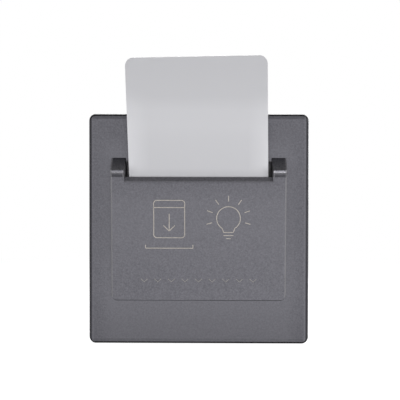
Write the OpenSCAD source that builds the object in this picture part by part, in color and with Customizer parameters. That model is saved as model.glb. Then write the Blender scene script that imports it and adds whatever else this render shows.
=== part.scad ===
// Hotel key card switch: a wall plate with a wedge-shaped card holder in front,
// and a lever-worked snap switch with its electrics behind the wall line.
// Millimetres. The wall is the plane Y = 0, the front faces -Y and Z is up.
// The origin is the middle of the plate, on the wall.

/* [Front plate] */
// Width of the plate
plate_w = 86; // [85:0.5:92]
// Height of the plate
plate_h = 90; // [88:0.5:96]
// How far the plate stands off the wall
plate_d = 10; // [9.5:0.25:12]
// Thickness of the plate's walls
plate_wall = 2; // [1.6:0.1:2.2]
// Corner radius of the outline
plate_corner_r = 2.6; // [2.2:0.1:5]
// Width of the steep front edge
plate_edge_w = 0.85; // [0.4:0.05:0.9]
// Depth of the steep front edge
plate_edge_d = 1.8; // [1:0.1:2.4]
// Width of the soft bevel inside the steep edge
plate_bevel_w = 1; // [0.6:0.1:1.2]
// Fall of the soft bevel
plate_bevel_d = 0.1; // [0.05:0.05:0.5]
// Lower edge of the plate's tongue behind the card, above the centre
tongue_z = 26.7; // [26.2:0.1:27.2]
// Width of the notch that a screwdriver prises the plate off with
pry_w = 9; // [6:0.5:14]
// Depth of that notch
pry_d = 1.2; // [0.8:0.1:1.6]

/* [Card holder] */
// Width of the holder
holder_w = 68; // [66:0.5:69]
// Lower edge of the holder, below the centre
holder_bottom = 27.7; // [27.2:0.1:29.5]
// Upper edge of the shoulders, above the centre
holder_top = 27.8; // [27.5:0.1:28.5]
// Radius of the holder's lower corners
holder_corner_r = 2.2; // [1:0.1:4]
// Gap beside the holder in the plate
holder_gap = 0.06; // [0.05:0.01:0.3]
// Gap under the holder in the plate
foot_gap = 0.25; // [0.2:0.05:0.5]
// How far the panel's lower edge stands proud of the plate
panel_foot = 0.7; // [0.4:0.1:1.2]
// How far the panel's upper edge stands proud of the plate
panel_proud = 4.6; // [4:0.1:5.2]
// Upper edge of the panel at the shoulders, above the centre
panel_top = 20.4; // [19.8:0.1:20.8]
// Thickness of the holder's walls
holder_wall = 1.5; // [1.3:0.1:1.8]
// Width of the shallow bevel along the panel's side edges
panel_bevel_w = 0.5; // [0.2:0.05:0.8]
// Tilt of that bevel
panel_bevel_tilt = 20; // [10:1:40]
// Rounding on top of the shoulders' noses
nose_r = 0.3; // [0.2:0.05:0.5]
// How far the noses stand proud of the plate
nose_proud = 6.1; // [5.8:0.1:6.4]
// Height of that rounding above the centre
nose_z = 23.05; // [22.7:0.05:23.2]
// Length of the noses' front face
nose_h = 0.9; // [0.6:0.05:1.1]
// How far that face looks down, in degrees
nose_tilt = 20; // [14:1:26]
// Width between the cheeks at the front of the slot
slot_front_w = 57.8; // [57:0.1:59]
// Width between the cheeks at the back of the slot
slot_back_w = 56.8; // [56.4:0.1:57]
// Thickness of the cheeks
cheek_wall = 1.3; // [1:0.1:1.6]
// Height of the slot's lip above the centre
lip_z = 20.4; // [19.8:0.1:20.8]
// Height of the chamfer on the lip
lip_chamfer = 2; // [1.6:0.1:2.4]
// Rounding between the lip's chamfer and the panel
lip_r = 2.2; // [1:0.1:2.4]
// Width of the holder's flange behind the plate
flange_w = 2.2; // [1.6:0.1:2.4]
// Thickness of the holder's flange
flange_t = 1.5; // [1.2:0.1:1.7]
// Number of ribs inside the panel
rib_count = 5; // [3:1:7]
// Spacing of those ribs
rib_pitch = 9; // [7:0.5:9]
// Height of those ribs
rib_h = 1.1; // [0.6:0.1:1.2]
// Thickness of the stiffening ribs
rib_t = 1; // [0.8:0.1:1.4]

/* [Key card] */
// Width of the card
card_w = 53.98; // [53:0.01:54.2]
// Length of the card
card_l = 85.6; // [84:0.1:87]
// Thickness of the card
card_t = 0.76; // [0.6:0.02:0.84]
// Corner radius of the card
card_corner_r = 3.18; // [2.5:0.01:4]
// Lean of the card away from the wall, in degrees
card_tilt = 12; // [11:0.25:12.5]
// Turn of the card in its own plane, in degrees
card_roll = 1.1; // [0:0.1:1.2]
// Length of the card below the lip
card_in = 39; // [38:0.25:40]
// Clear gap between the card and what it leans on
card_gap = 0.3; // [0.2:0.05:0.4]

/* [Card guide] */
// Thickness of the guide's walls
guide_wall = 1.3; // [1:0.1:1.5]
// Thickness of the guide's flange
guide_flange_t = 1.5; // [1.2:0.1:1.7]
// Top of the guide's back wall, above the centre
guide_top = 24.6; // [24:0.1:25]
// How far that top lies behind the plate's front
guide_set_back = 1; // [0.8:0.1:1.4]
// Gap behind the card at its lower edge
guide_back_gap = 0.45; // [0.35:0.05:0.6]
// Gap in front of the card at its lower edge
guide_front_gap = 0.6; // [0.5:0.05:0.8]
// Height of the wall in front of the card's lower edge
upstand_h = 7; // [4:0.5:9]
// Side clearance of the guide inside the cheeks
guide_side_gap = 0.4; // [0.3:0.05:0.5]
// Half the width between the guide's screws
guide_screw_x = 28; // [26:0.5:32]
// Half the height between the guide's screws
guide_screw_z = 34; // [33.6:0.1:36]
// Radius of the guide's screw ears
guide_ear_r = 2.9; // [2.6:0.1:3.1]
// Radius of the plate's screw bosses
boss_r = 2.2; // [1.9:0.1:2.4]

/* [Mounting frame] */
// Height of the frame
frame_h = 60; // [58:0.5:61]
// Thickness of the frame's sheet
frame_t = 1.5; // [1.2:0.1:1.8]
// Gap between the folded side flanges and the guide
fold_clear = 0.4; // [0.3:0.05:0.6]
// Gap between the frame and the plate's inside
frame_gap = 0.4; // [0.3:0.05:0.6]
// Width of the window for the mechanism
frame_window_w = 36; // [32:0.5:36]
// Height of the window for the mechanism
frame_window_h = 46; // [45:0.5:47]
// Spacing of the wall box screws
fixing_pitch = 60.3; // [60.3:0.05:61]
// Width of the slots for the wall box screws
fixing_slot_w = 4.4; // [4:0.1:5]
// Length of the slots for the wall box screws
fixing_slot_l = 7.5; // [6:0.1:8]
// Height of each catch window in the folded flanges
catch_w = 8; // [6:0.5:12]
// Depth of each catch window
catch_d = 1.8; // [1.5:0.1:2]
// Height of the catches above and below the centre
catch_z = 18; // [12:0.5:22]

/* [Mechanism] */
// Width of the housing
housing_w = 49; // [48.5:0.1:50]
// Height of the housing
housing_h = 59; // [58.5:0.1:60]
// How far the housing reaches behind the wall
housing_back = 31; // [31:0.25:34]
// Thickness of the housing's walls
housing_wall = 1.6; // [1.2:0.1:1.8]
// Chamfer on the housing's rear edges
housing_chamfer = 3; // [1:0.1:3.5]
// Thickness of the lid
lid_t = 1.4; // [1.2:0.1:1.6]
// Width of the circuit board
board_w = 44; // [42:0.1:44.4]
// Height of the circuit board
board_h = 45; // [44:0.1:45.4]
// Thickness of the circuit board
board_t = 1.6; // [1.2:0.1:1.7]
// Distance of the board's front from the wall
board_y = 11.1; // [11.1:0.05:11.3]
// Radius of the board's pillars
pillar_r = 2.4; // [2:0.1:2.6]
// Wire bore of the terminals
wire_r = 1.75; // [1.5:0.05:1.9]
// Spacing of the terminals
terminal_pitch = 12.5; // [12:0.25:13]
// Width of a terminal block
terminal_w = 8; // [7:0.1:9]
// Height of a terminal block
terminal_h = 9; // [8:0.1:10]
// Depth of a terminal block
terminal_d = 11; // [10.5:0.1:11.2]

/* [Lever and switch] */
// Distance of the lever's axis from the wall
pivot_y = 4; // [4:0.05:4.2]
// Radius of the lever's pin
pin_r = 1; // [0.8:0.05:1.05]
// Running clearance of the lever on its pin
pin_clear = 0.05; // [0.03:0.01:0.08]
// Radius of the lever's hub
hub_r = 2.1; // [1.9:0.05:2.2]
// Thickness of the lever's arms
arm_t = 1.8; // [1.4:0.1:1.9]
// Width of the lever's finger
finger_w = 8; // [6:0.5:9]
// Width of the lever's tail and hub
tail_w = 16; // [15.5:0.1:16.4]
// Length of the tail behind the axis
tail_l = 4; // [3.8:0.05:4.2]
// Gap between the card's lower edge and the finger
touch_gap = 0.35; // [0.3:0.05:0.5]
// Thickness of the lid's ears that hold the pin
ear_t = 2; // [1.6:0.1:2.4]
// Radius of those ears
ear_r = 1.9; // [1.7:0.05:1.95]
// Side play of the lever between the ears
lever_play = 0.4; // [0.3:0.05:0.6]
// Length of the switch's case
switch_l = 12.8; // [12:0.1:13.4]
// Height of the switch's case
switch_h = 6.5; // [6:0.1:7]
// Thickness of the switch's case
switch_t = 5.8; // [5.4:0.1:5.8]
// Radius of the switch's button
button_r = 0.9; // [0.7:0.05:1]
// How far the pressed button stands out of the case
button_out = 0.6; // [0.5:0.05:0.8]
// Travel of the button
button_travel = 0.9; // [0.6:0.05:1]
// Length of the return spring with the card in
spring_l = 6; // [5.4:0.1:6.5]
// Middle radius of the return spring
spring_r = 1.65; // [1.5:0.05:1.8]
// Wire diameter of the return spring
spring_wire = 0.5; // [0.4:0.05:0.55]
// Turns of the return spring
spring_turns = 4.5; // [3.5:0.5:4.5]

/* [Screws] */
// Shank radius of the wall box screws
fixing_r = 1.75; // [1.7:0.05:1.85]
// Length of the wall box screws behind the frame
fixing_l = 25; // [20:1:35]
// Head radius of the wall box screws
fixing_head_r = 3.4; // [3:0.1:3.6]
// Head height of the wall box screws
fixing_head_h = 1.9; // [1.6:0.1:2]
// Shank radius of the small screws
small_r = 1; // [0.9:0.05:1.1]
// Head radius of the small screws
small_head_r = 1.9; // [1.6:0.1:2]
// Head height of the small screws
small_head_h = 1.2; // [1:0.1:1.3]
// Clearance of a screw in its hole
screw_clear = 0.05; // [0.03:0.01:0.1]
// Shank radius of the terminal screws
clamp_r = 1.6; // [1.4:0.05:1.7]
// Head radius of the terminal screws
clamp_head_r = 2.5; // [2.2:0.1:2.6]
// Head height of the terminal screws
clamp_head_h = 2; // [1.6:0.1:2.2]

/* [Electrics] */
// Length of the relay
relay_l = 29; // [26:0.5:30]
// Width of the relay
relay_w = 12.7; // [12:0.1:13]
// Height of the relay above the board
relay_h = 15.7; // [14:0.1:15.8]
// Length of the dropper capacitor
film_l = 18; // [17:0.1:18.5]
// Width of the dropper capacitor
film_w = 8.5; // [7:0.1:9]
// Height of the dropper capacitor
film_h = 14; // [12:0.1:15]
// Radius of the smoothing capacitor
can_r = 5; // [4:0.1:5.2]
// Height of the smoothing capacitor
can_h = 12.5; // [11:0.1:14]
// Radius of the surge disc
disc_r = 4.75; // [4:0.05:5]
// Thickness of the surge disc
disc_t = 4.2; // [3.6:0.1:4.6]

/* [Hidden] */

$fn = 64;
// Seat between flat faces, and how far a cut runs past a face
seat = 0.05;
past = 1;
// How far a boss or pillar sinks into the wall that carries it
root = 0.3;

// Planes of the front assembly, from the plate's front to the back of the guide
front_y = -plate_d;
plate_in_y = front_y + plate_wall;
flange_y = plate_in_y + seat;
flange_back_y = flange_y + flange_t;
guide_y = flange_back_y + seat;
guide_back_y = guide_y + guide_flange_t;
plate_in_w = plate_w - 2 * plate_wall;
plate_in_h = plate_h - 2 * plate_wall;

// The panel's front face is a straight line between its lower and upper edge
panel_slope = (panel_proud - panel_foot) / (panel_top + holder_bottom);
panel_wall_y = holder_wall * sqrt(1 + panel_slope * panel_slope);
panel_angle = atan(panel_slope);
function panel_y(z) = front_y - panel_foot - (z + holder_bottom) * panel_slope;
function panel_in_y(z) = panel_y(z) + panel_wall_y;

// Nose of the shoulders: its rounding, then the upper and lower end of its face
nose_c = [front_y - nose_proud + nose_r, nose_z];
nose_face = nose_c - nose_r * [cos(nose_tilt), sin(nose_tilt)];
nose_foot = nose_face + nose_h * [sin(nose_tilt), -cos(nose_tilt)];
// Where a line from p touches the circle round c, on the side given by s
function touch(p, c, r, s) =
    let (d = c - p, len = norm(d), turn = atan2(d[1], d[0]) + s * asin(r / len))
    p + sqrt(len * len - r * r) * [cos(turn), sin(turn)];

// Lip, and the line of the card that leans on it
lip_in = [panel_in_y(lip_z), lip_z];
lip_out = [panel_y(lip_z - lip_chamfer), lip_z - lip_chamfer];
// Facets of the lip's rounding, from the tilt of its chamfer down to the panel
lip_tilt = atan2(lip_in[0] - lip_out[0], lip_chamfer);
lip_mid = (lip_tilt - panel_angle) / 2;
lip_c = lip_out + lip_r / cos(lip_tilt - lip_mid) * [cos(lip_mid), -sin(lip_mid)];
lip_steps = 5;
function lip_point(i) =
    let (tilt = lip_tilt - i / lip_steps * (lip_tilt + panel_angle))
    lip_c + lip_r * [-cos(tilt), sin(tilt)];
card_lip_y = lip_in[0] + (card_gap + card_t / 2) / cos(card_tilt);
card_foot = [card_lip_y + card_in * sin(card_tilt), lip_z - card_in * cos(card_tilt)];
card_half_y = card_t / 2 / cos(card_tilt);

// Guide: floor, back wall line and side planes
floor_z = card_foot[1] - card_gap - card_w / 2 * sin(card_roll);
guide_foot_y = card_foot[0] + card_half_y + guide_back_gap;
guide_head = [front_y + guide_set_back, guide_top];
guide_slope = (guide_foot_y - guide_head[0]) / (guide_top - floor_z);
guide_wall_y = guide_wall * sqrt(1 + guide_slope * guide_slope);
function guide_front_y(z) = guide_head[0] + (guide_top - z) * guide_slope;
guide_half_w = slot_back_w / 2 - guide_side_gap;
upstand_y = card_foot[0] - card_half_y - guide_front_gap;

// Lever: the tip of its finger lies under the card, its tail under the button
tip_r = arm_t / 2;
finger_tip = [card_foot[0] + card_t / 2, card_foot[1] - touch_gap - tip_r];
finger_rise = 0.6;
pivot = [pivot_y, finger_tip[1] + finger_rise];
tail_rise = 0.5;
tail_end = [pivot_y + tail_l, pivot[1] + tail_rise];
finger_gap = 0.6;
finger_swing = 4.4;
finger_slot_w = finger_w + 2 * finger_gap;
ear_x = tail_w / 2 + lever_play;
lid_back_y = lid_t + seat;

// Switch, over the tail
button_gap = 0.2;
button_x = 4.5;
button_z = tail_end[1] + tip_r + button_gap;
switch_x = 0.5;
switch_z = button_z + button_out;
switch_y = tail_end[0] - switch_t / 2;
button_l = 2.6;
button_clear = 0.07;
button_well = 3.4;
leg_w = 1.2;
leg_t = 0.5;
leg_rise = 1.4;
leg_past = 1.1;
leg_inset = 1.4;
leg_clear = 0.3;

// Return spring, between the tail and a shelf on the lid
spring_x = -4.5;
spring_inset = 0.4;
spring_y = tail_end[0] - spring_inset;
spring_gap = 0.3;
shelf_gap = 0.1;
spring_z = tail_end[1] + tip_r + spring_gap + spring_wire / 2;
shelf_z = spring_z + spring_l + spring_wire / 2 + shelf_gap;
shelf_w = 5.4;
shelf_t = 1.4;
shelf_y = spring_y + spring_r + spring_inset;
spigot_h = 1.4;
spigot_gap = 0.2;
spigot_r = spring_r - spring_wire / 2 - spigot_gap;

// Frame and its catches
frame_w = plate_in_w - 2 * frame_gap;
frame_corner_r = 3;
window_corner_r = 2;
frame_fold = -guide_back_y - frame_t - fold_clear;
catch_y = -frame_t - frame_fold / 2;
catch_play = 0.3;
catch_reach = frame_gap + frame_t * 0.6;
frame_groove_w = 3;
frame_groove_d = 0.4;

// Mechanism: lid, housing, screws and board
lid_rim = 0.6;
lid_w = housing_w + 2 * lid_rim;
lid_h = housing_h + 2 * lid_rim;
lid_corner_r = 2;
housing_y = lid_back_y + seat;
housing_in_y = housing_back - housing_wall;
case_screw_inset = 3.9;
case_screw_x = housing_w / 2 - case_screw_inset;
case_screw_z = housing_h / 2 - case_screw_inset;
case_screw_r = 1.3;
case_screw_l = 14;
case_boss_r = 2.5;
case_boss_l = 16;
board_back_y = board_y + board_t;
board_screw_inset = 3;
board_screw_x = board_w / 2 - board_screw_inset;
board_screw_l = 6;
seat_legs = 0.1;
clamp_rise = 0.5;

// Terminals, along the lower edge of the board
terminal_y = board_back_y + seat_legs;
terminal_inset = 1.2;
terminal_z = -board_h / 2 + terminal_inset + terminal_h / 2;
// The board's lower screws lie clear above the terminals
board_screw_gap = 0.6;
board_screw_low = terminal_z + terminal_h / 2 + board_screw_gap + small_head_r;
board_screw_zs = [board_screw_low, board_h / 2 - board_screw_inset];
wire_in = 4.7;
wire_y = terminal_y + wire_in;
terminal_xs = [for (i = [-1, 0, 1]) i * terminal_pitch];
terminal_leg_r = 0.6;
terminal_leg_gap = 4;
mouth_margin = 1.25;
wire_mouth = 2 * (wire_r + mouth_margin);
clamp_gap = 0.15;
clamp_y = wire_y + wire_r + clamp_gap;
clamp_access = 0.4;

// Places on the back of the board
relay_z = 13.6;
film_x = -11;
film_z = 0.2;
can_x = 4.4;
can_z = 0.6;
disc_x = 15.6;
disc_z = 0;
lead_r = 0.3;
lead_l = 1.2;

// Places on the front of the board
bridge_at = [-11, 9];
bridge_size = [8.4, 3.3, 6.4];
chip_at = [11, 6];
chip_size = [5, 1.6, 4];
chip_leg = [0.4, 0.3, 0.9];
chip_leg_pitch = 1.27;

// Colours
metallic_grey = "#6c6b70";
card_white = "#d0d0d4";
black_plastic = "#26272a";
zinc = "#b9bcc0";
brass = "#c7a552";
housing_white = "#d9d9d6";

// A profile drawn in Y and Z, run along X
module along_x(x0, x1) {
    translate([x0, 0, 0])
        rotate([90, 0, 90])
            linear_extrude(height = x1 - x0)
                children();
}

// A profile drawn in X and Z, run along Y
module along_y(y0, y1) {
    translate([0, y1, 0])
        rotate([90, 0, 0])
            linear_extrude(height = y1 - y0)
                children();
}

// A rectangle with round corners, about the origin
module rounded_rect(w, h, r) {
    square([w - 2 * r, h], center = true);
    square([w, h - 2 * r], center = true);
    for (x = [-1, 1], z = [-1, 1])
        translate([x * (w / 2 - r), z * (h / 2 - r)])
            circle(r);
}

// A slot with round ends, about the origin and along the first axis
module round_slot(l, w) {
    square([l - w, w], center = true);
    for (x = [-1, 1])
        translate([x * (l - w) / 2, 0])
            circle(w / 2);
}

// A straight arm of one thickness with round ends
module arm(p, q, t) {
    translate(p)
        rotate(atan2(q[1] - p[1], q[0] - p[0]))
            translate([0, -t / 2])
                square([norm(q - p), t]);
    translate(p) circle(t / 2);
    translate(q) circle(t / 2);
}

// A screw along Y: its head lies behind or before the seat plane at y
module screw(y, len, r, head_r, head_h, side) {
    y_tip = y - side * len;
    y_head = y + side * head_h;
    along_y(min(y, y_tip), max(y, y_tip)) circle(r);
    difference() {
        along_y(min(y, y_head), max(y, y_head)) circle(head_r);
        along_y(y_head - head_h * 0.4, y_head + head_h * 0.4)
            for (turn = [0, 90])
                rotate(turn)
                    square([head_r * 1.1, head_r * 0.3], center = true);
    }
}

// Outline of the holder in X and Z, grown by a gap beside and a gap below
module holder_outline(beside, below) {
    half = holder_w / 2 + beside;
    r = holder_corner_r + beside;
    low = -holder_bottom - below;
    translate([-half, low + r]) square([2 * half, holder_top + beside - low - r]);
    translate([-half + r, low]) square([2 * (half - r), r + seat]);
    for (x = [-1, 1])
        translate([x * (half - r), low + r])
            circle(r);
}

// Half of the plate's edge, from a line inside the rim to the rim
module rim_section(reach) {
    depth = plate_d - plate_bevel_d;
    polygon([
        [0, 0],
        [reach, 0],
        [reach, depth - plate_edge_d],
        [reach - plate_edge_w / 4, depth - plate_edge_d / 2],
        [reach - plate_edge_w, depth],
        [reach - plate_edge_w - plate_bevel_w, plate_d],
        [0, plate_d]
    ]);
}

module full_section(width) {
    for (side = [0, 1])
        mirror([side, 0])
            rim_section(width / 2);
}

module plate_block() {
    flat_w = plate_w - 2 * plate_corner_r;
    flat_h = plate_h - 2 * plate_corner_r;
    mirror([0, 1, 0])
        linear_extrude(height = flat_h, center = true)
            full_section(plate_w);
    rotate([90, 0, 0])
        rotate([90, 0, 90])
            linear_extrude(height = flat_w, center = true)
                full_section(plate_h);
    for (turn = [0 : 3])
        rotate([0, turn * 90, 0])
            let (odd = turn % 2)
            translate([(odd ? flat_h : flat_w) / 2, 0, (odd ? flat_w : flat_h) / 2])
                rotate([90, 0, 0])
                    rotate_extrude(angle = 90)
                        rim_section(plate_corner_r);
}

// Bosses for the guide's screws, ribs and catches inside the plate
module plate_inside() {
    rib_from = guide_screw_z - guide_ear_r;
    for (x = [-1, 1], z = [-1, 1])
        translate([x * guide_screw_x, 0, z * guide_screw_z])
            along_y(plate_in_y - root, guide_y - seat)
                circle(boss_r);
    for (x = [-1, 0, 1], z = [-1, 1])
        translate([x * guide_screw_x / 2, plate_in_y - root, z * (plate_in_h / 2 + rib_from) / 2])
            translate([-rib_t / 2, 0, -(plate_in_h / 2 - rib_from) / 2 - root])
                cube([rib_t, flange_t + root, plate_in_h / 2 - rib_from + 2 * root]);
    for (x = [0, 1], z = [-1, 1])
        mirror([x, 0, 0])
            translate([plate_in_w / 2, catch_y, z * catch_z - catch_w / 2 + catch_play])
                linear_extrude(height = catch_w - 2 * catch_play)
                    polygon([
                        [root, -catch_d / 2 + catch_play],
                        [-catch_reach, -catch_d / 2 + catch_play],
                        [-catch_reach, 0],
                        [root, catch_d / 2 - catch_play]
                    ]);
}

module front_plate() {
    color(metallic_grey)
    difference() {
        union() {
            difference() {
                plate_block();
                along_y(plate_in_y, past)
                    rounded_rect(plate_in_w, plate_in_h, plate_corner_r - plate_edge_w);
            }
            plate_inside();
        }
        along_y(front_y - past, plate_in_y + past)
            difference() {
                holder_outline(holder_gap, foot_gap);
                translate([-slot_back_w / 2 + holder_gap, tongue_z])
                    square([slot_back_w - 2 * holder_gap, holder_top]);
            }
        for (x = [-1, 1], z = [-1, 1])
            translate([x * guide_screw_x, 0, z * guide_screw_z])
                along_y(front_y + plate_wall / 2, 0)
                    circle(small_r + screw_clear);
        translate([-pry_w / 2, -pry_d, -plate_h / 2 - past])
            cube([pry_w, pry_d + past, plate_wall + 2 * past]);
    }
}

// Side view of the holder: shoulder, nose and sloping panel
module holder_side() {
    shoulder = [front_y, holder_top];
    edge = [panel_y(panel_top), panel_top];
    polygon([
        [flange_back_y, holder_top],
        shoulder,
        touch(shoulder, nose_c, nose_r, -1),
        nose_c,
        nose_face,
        nose_foot,
        edge,
        [panel_y(-holder_bottom), -holder_bottom],
        [flange_back_y, -holder_bottom]
    ]);
    translate(nose_c) circle(nose_r);
}

// Side view of what is cut from between the cheeks
module slot_side() {
    low = -holder_bottom + holder_wall;
    edge = lip_point(lip_steps);
    bar_z = guide_top + guide_wall + card_gap;
    far_y = front_y - nose_proud - past;
    polygon([
        [panel_in_y(low), low],
        lip_in,
        for (i = [0 : lip_steps]) lip_point(i),
        [far_y - past, edge[1]],
        [far_y - past, holder_top + past],
        [flange_y, holder_top + past],
        [flange_y, bar_z],
        [flange_back_y + past, bar_z],
        [flange_back_y + past, low]
    ]);
}

// Side view of the hollow inside each shoulder
module shoulder_hollow() {
    low = -holder_bottom + holder_wall;
    high = holder_top - holder_wall;
    polygon([
        [panel_in_y(low), low],
        [panel_in_y(panel_top - holder_wall), panel_top - holder_wall],
        [nose_c[0] + holder_wall - nose_r / 2, nose_z],
        [front_y + holder_wall / 2, high],
        [flange_back_y + past, high],
        [flange_back_y + past, low]
    ]);
}

module card_holder() {
    half = holder_w / 2;
    flange_half_w = half + flange_w;
    flare_y = front_y - nose_proud - past;
    rib_low = floor_z + upstand_h + card_gap;
    rib_high = lip_z - lip_chamfer - 2 * holder_wall - upstand_h;
    color(metallic_grey)
    difference() {
        union() {
            difference() {
                union() {
                    intersection() {
                        along_x(-half, half) holder_side();
                        along_y(flare_y, flange_back_y + past) holder_outline(0, 0);
                    }
                    along_y(flange_y, flange_back_y)
                        translate([-flange_half_w, -holder_bottom - flange_w])
                            square([2 * flange_half_w, holder_bottom + holder_top + 2 * flange_w]);
                }
                intersection() {
                    along_x(-half, half) slot_side();
                    translate([0, 0, -holder_bottom])
                        linear_extrude(height = holder_bottom + holder_top + 2 * past)
                            polygon([
                                [-slot_back_w / 2, flange_back_y + past],
                                [slot_back_w / 2, flange_back_y + past],
                                [slot_front_w / 2, flare_y],
                                [-slot_front_w / 2, flare_y]
                            ]);
                }
            }
            for (i = [0 : rib_count - 1])
                let (x = (i - (rib_count - 1) / 2) * rib_pitch)
                along_x(x - rib_t / 2, x + rib_t / 2)
                    polygon([
                        [panel_in_y(rib_low) - root, rib_low],
                        [panel_in_y(rib_high) - root, rib_high],
                        [panel_in_y(rib_high) + rib_h, rib_high - rib_h],
                        [panel_in_y(rib_low) + rib_h, rib_low]
                    ]);
        }
        for (side = [0, 1])
            mirror([side, 0, 0]) {
                along_x(slot_front_w / 2 + cheek_wall, half - holder_wall) shoulder_hollow();
                translate([half - panel_bevel_w, panel_y(-holder_bottom), -holder_bottom])
                    rotate([panel_angle, 0, 0])
                        rotate([0, 0, panel_bevel_tilt])
                            translate([0, -past, -past])
                                cube([2 * panel_bevel_w, past, panel_top + holder_bottom + past]);
            }
    }
}

module guide_plate() {
    half = holder_w / 2 + flange_w;
    along_y(guide_y, guide_back_y)
        difference() {
            union() {
                translate([-half, -holder_bottom - flange_w])
                    square([2 * half, holder_bottom + holder_top + 2 * flange_w]);
                for (x = [-1, 1], z = [-1, 1]) {
                    translate([x * guide_screw_x, z * guide_screw_z]) circle(guide_ear_r);
                    translate([x * guide_screw_x - guide_ear_r, min(0, z * guide_screw_z)])
                        square([2 * guide_ear_r, guide_screw_z]);
                }
            }
            translate([-guide_half_w, floor_z - guide_wall / 2])
                square([2 * guide_half_w, guide_top - floor_z + guide_wall]);
        }
}

// Side view of the card's channel: back wall, top shelf, floor and front upstand
module channel_side() {
    low = floor_z - guide_wall;
    polygon([
        [guide_head[0], guide_top],
        [guide_front_y(low), low],
        [guide_front_y(low) + guide_wall_y, low],
        [guide_head[0] + guide_wall_y, guide_top]
    ]);
    polygon([
        [guide_head[0], guide_top - root],
        [guide_head[0], guide_top],
        [guide_head[0] + guide_wall / 2, guide_top + guide_wall],
        [guide_y + guide_flange_t / 2, guide_top + guide_wall],
        [guide_y + guide_flange_t / 2, guide_top - root]
    ]);
    polygon([
        [upstand_y - guide_wall, low],
        [upstand_y - guide_wall, floor_z],
        [guide_front_y(floor_z) + guide_wall / 2, floor_z],
        [guide_front_y(low) + guide_wall / 2, low]
    ]);
    translate([upstand_y, floor_z])
        rotate(card_tilt)
            polygon([
                [-guide_wall, -guide_wall / 2],
                [-guide_wall, upstand_h],
                [-guide_wall / 2, upstand_h],
                [0, upstand_h - guide_wall],
                [0, -guide_wall / 2]
            ]);
}

// The channel, narrower where it lies between the cheeks, with side walls behind
module guide_channel() {
    low = floor_z - guide_wall;
    meet_z = guide_top - (guide_y - guide_head[0]) / guide_slope;
    wide = guide_half_w + root;
    difference() {
        along_x(-wide, wide) channel_side();
        for (side = [-1, 1])
            translate([side * (guide_half_w + past), (front_y + guide_y) / 2 - past, 0])
                cube([2 * past, guide_y - front_y + 2 * past, 2 * plate_h], center = true);
    }
    for (side = [0, 1])
        mirror([side, 0, 0])
            along_x(guide_half_w, guide_half_w + guide_wall)
                polygon([
                    [guide_y + guide_flange_t / 2, meet_z],
                    [guide_y + guide_flange_t / 2, low],
                    [guide_front_y(low) + guide_wall_y / 2, low],
                    [guide_front_y(meet_z) + guide_wall_y / 2, meet_z]
                ]);
}

module card_guide() {
    low = pivot[1] - finger_swing * 0.75;
    color(black_plastic)
    difference() {
        union() {
            guide_plate();
            guide_channel();
        }
        translate([-finger_slot_w / 2, upstand_y + card_gap / 3, low])
            cube([finger_slot_w, plate_d, pivot[1] + finger_swing - low]);
        for (x = [-1, 1], z = [-1, 1])
            translate([x * guide_screw_x, 0, z * guide_screw_z])
                along_y(guide_y - past, guide_back_y + past)
                    circle(small_r + screw_clear);
    }
}

module guide_screws() {
    color(zinc)
    for (x = [-1, 1], z = [-1, 1])
        translate([x * guide_screw_x, 0, z * guide_screw_z])
            screw(
                guide_back_y + seat,
                guide_back_y - front_y - plate_wall / 2 - small_r * 0.2,
                small_r, small_head_r, small_head_h, 1
            );
}

module key_card() {
    color(card_white)
    translate([0, card_lip_y, lip_z])
        rotate([card_tilt, 0, 0])
            rotate([0, -card_roll, 0])
                translate([0, 0, card_l / 2 - card_in])
                    along_y(-card_t / 2, card_t / 2)
                        rounded_rect(card_w, card_l, card_corner_r);
}

module mounting_frame() {
    fold_y = -frame_t - frame_fold;
    color(zinc)
    difference() {
        union() {
            along_y(-frame_t, -seat) rounded_rect(frame_w, frame_h, frame_corner_r);
            for (side = [0, 1])
                mirror([side, 0, 0])
                    translate([frame_w / 2 - frame_t, fold_y, -frame_h / 2 + frame_corner_r])
                        cube([frame_t, frame_fold + frame_t / 2, frame_h - 2 * frame_corner_r]);
        }
        along_y(-frame_t - past, past)
            rounded_rect(frame_window_w, frame_window_h, window_corner_r);
        for (x = [-1, 1]) {
            translate([x * fixing_pitch / 2, 0, 0])
                along_y(-frame_t - past, past)
                    round_slot(fixing_slot_l, fixing_slot_w);
            for (z = [-1, 1]) {
                translate([x * case_screw_x, 0, z * case_screw_z])
                    along_y(-frame_t - past, past)
                        circle(case_screw_r + screw_clear);
                translate([x * frame_w / 2 - 2 * frame_t, catch_y - catch_d / 2, z * catch_z - catch_w / 2])
                    cube([4 * frame_t, catch_d, catch_w]);
                translate([x * fixing_pitch / 2, -frame_t - past, z * frame_h / 3])
                    translate([-frame_groove_w / 2, 0, -frame_groove_w])
                        cube([frame_groove_w, past + frame_groove_d, 2 * frame_groove_w]);
            }
        }
    }
}

module fixing_screws() {
    neck_r = fixing_r - 0.25;
    color(zinc)
    for (x = [-1, 1])
        translate([x * fixing_pitch / 2, 0, 0]) {
            screw(-frame_t - seat, frame_t + fixing_l / 2, neck_r, fixing_head_r, fixing_head_h, -1);
            along_y(0, fixing_l) circle(fixing_r);
        }
}

module lid_ears() {
    for (side = [0, 1])
        mirror([side, 0, 0])
            along_x(ear_x, ear_x + ear_t)
                difference() {
                    union() {
                        translate(pivot) circle(ear_r);
                        translate([lid_back_y - root, pivot[1] - ear_r])
                            square([pivot_y - lid_back_y + root, 2 * ear_r]);
                    }
                    translate(pivot) circle(pin_r + screw_clear / 2);
                }
}

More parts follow.
